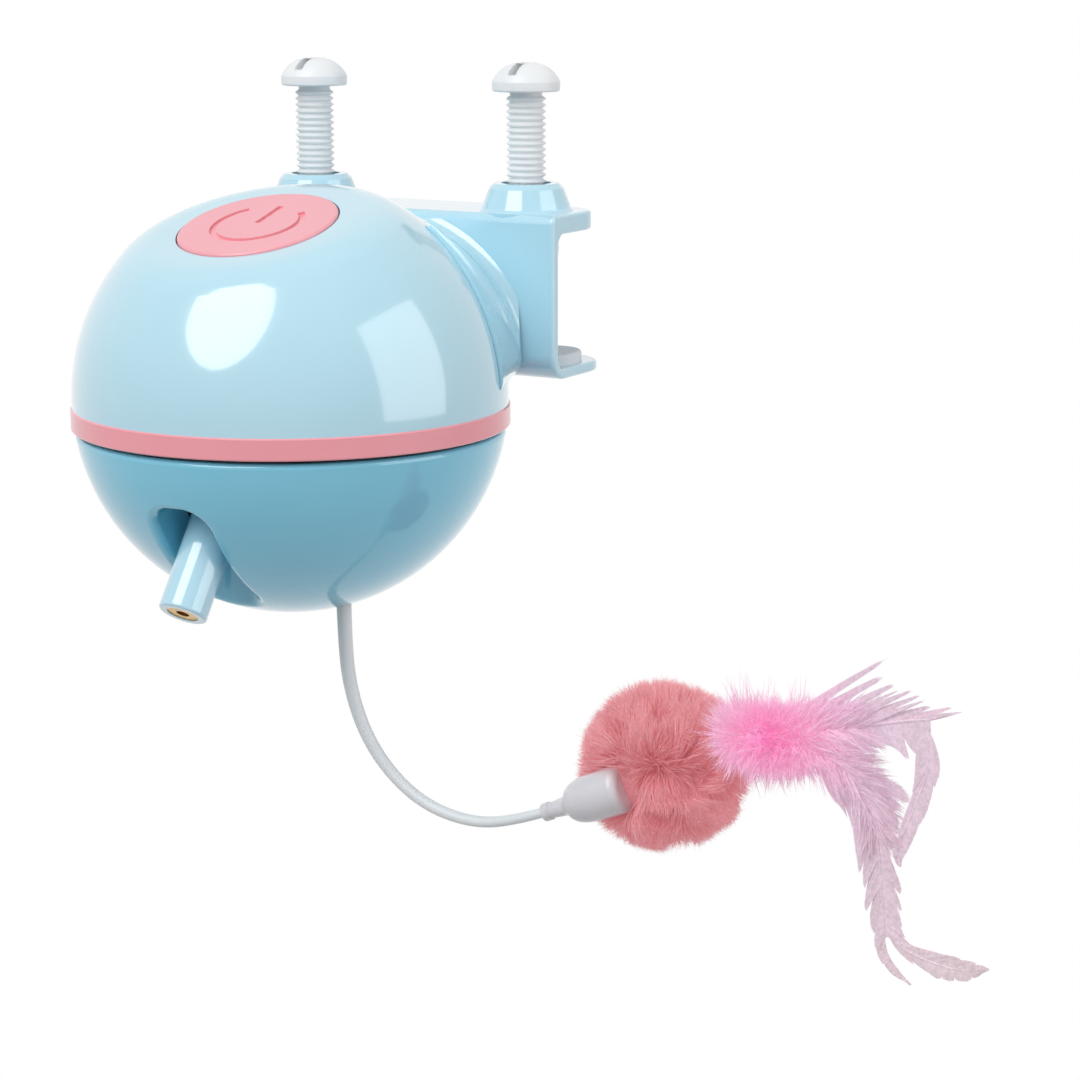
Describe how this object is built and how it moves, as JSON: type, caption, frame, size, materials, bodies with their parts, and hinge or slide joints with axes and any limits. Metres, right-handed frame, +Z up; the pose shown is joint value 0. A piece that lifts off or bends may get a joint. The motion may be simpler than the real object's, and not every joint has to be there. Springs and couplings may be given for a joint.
{
  "type": "cat toy",
  "caption": "Motorised cat toy: ball with a turning lower half, a tilting laser tube, a springy wire lure with pompom and feathers, and a screw clamp for a table edge",
  "frame": {"origin": "middle of the jaw pad's upper face, which lies against the underside of a table edge or shelf", "axes": "+Z up, out of the pad; +Y in towards the table; the ball hangs on the -Y side; +X to the right as seen from the ball's front"},
  "size_m": [0.1843, 0.1042, 0.1622],
  "materials": {
    "shell_blue": "glossy",
    "trim_pink": "glossy",
    "pad_grey": "matt",
    "nylon": "satin, slightly translucent",
    "inner_plastic": "matt",
    "steel": "satin",
    "board_green": "satin",
    "black_plastic": "glossy",
    "cell_blue": "glossy sleeve",
    "bronze": "satin",
    "brass": "turned",
    "laser_glass": "clear",
    "wire_grey": "satin",
    "connector_milky": "milky, slightly translucent",
    "fur_pink": "fluffy fur",
    "feather_pink": "soft down",
    "feather_lilac": "soft vanes"
  },
  "bodies": {
    "housing": {"upper_shell": "shell_blue", "band_ring": "trim_pink", "chassis_plate": "inner_plastic", "chassis_screws": "steel", "clamp_bracket": "shell_blue", "bracket_screws": "steel", "jaw_pad": "pad_grey", "clamp_nuts": "steel", "switch_board": "board_green", "tact_switch": "black_plastic", "board_screws": "steel", "main_board": "board_green", "port_board": "board_green", "usb_port": "steel", "battery_cradle": "inner_plastic", "battery_cell": "cell_blue", "motor_plate": "steel", "motor_screws": "steel", "gear_motor": "steel", "upper_bush": "bronze", "lower_bush": "bronze", "slip_ring_board": "board_green", "slip_rings": "bronze"},
    "button": {"power_button": "trim_pink"},
    "pinion": {"motor_pinion": "brass"},
    "rotor": {"lower_shell": "shell_blue", "rotor_plate": "inner_plastic", "rotor_screw": "steel", "output_shaft": "steel", "output_gear": "inner_plastic", "shaft_clip": "steel", "contact_board": "board_green", "contact_springs": "bronze", "laser_bracket": "steel", "laser_screws": "steel", "friction_washers": "inner_plastic", "wire_socket": "brass", "teaser_wire": "wire_grey"},
    "laser": {"laser_tube": "shell_blue", "laser_module": "brass", "laser_lens": "laser_glass"},
    "head": {"head_connector": "connector_milky", "fur_ball": "fur_pink", "feather_tuft": "feather_pink", "upper_feather": "feather_lilac", "lower_feather": "feather_lilac"},
    "left_foot": {"left_screw_foot": "nylon"},
    "left_screw": {"left_clamp_screw": "nylon"},
    "right_foot": {"right_screw_foot": "nylon"},
    "right_screw": {"right_clamp_screw": "nylon"}
  },
  "joints": [
    {"name": "rotor_spin", "type": "hinge", "parent": "housing", "child": "rotor", "pos_m": [0, -0.0488, -0.0045], "axis": [0, 0, 1], "continuous": true},
    {"name": "motor_spin", "type": "hinge", "parent": "housing", "child": "pinion", "pos_m": [-0.021, -0.0488, -0.0045], "axis": [0, 0, 1], "continuous": true},
    {"name": "laser_tilt", "type": "hinge", "parent": "rotor", "child": "laser", "pos_m": [0, -0.0718, -0.0209], "axis": [1, 0, 0], "range_deg": [-35, 35]},
    {"name": "button_press", "type": "slide", "parent": "housing", "child": "button", "axis": [0, 0.2874, -0.9578], "range_m": [0, 0.0008], "stiffness_N_per_m": 800, "springref_m": -0.0005},
    {"name": "head_pull", "type": "slide", "parent": "rotor", "child": "head", "axis": [0.9168, 0, 0.3994], "range_m": [0, 0.008]},
    {"name": "left_foot_slide", "type": "slide", "parent": "housing", "child": "left_foot", "axis": [0, 0, -1], "range_m": [0, 0.018]},
    {"name": "left_screw_turn", "type": "hinge", "parent": "left_foot", "child": "left_screw", "pos_m": [-0.0253, -0.0017, 0.0255], "axis": [0, 0, -1], "range_deg": [0, 5184]},
    {"name": "right_foot_slide", "type": "slide", "parent": "housing", "child": "right_foot", "axis": [0, 0, -1], "range_m": [0, 0.018]},
    {"name": "right_screw_turn", "type": "hinge", "parent": "right_foot", "child": "right_screw", "pos_m": [0.0253, -0.0017, 0.0255], "axis": [0, 0, -1], "range_deg": [0, 5184]}
  ],
  "couplings": [
    {"joint": "motor_spin", "follows": "rotor_spin", "ratio": -2.75},
    {"joint": "left_screw_turn", "follows": "left_foot_slide", "rad_per_m": 5026.5},
    {"joint": "right_screw_turn", "follows": "right_foot_slide", "rad_per_m": 5026.5}
  ]
}
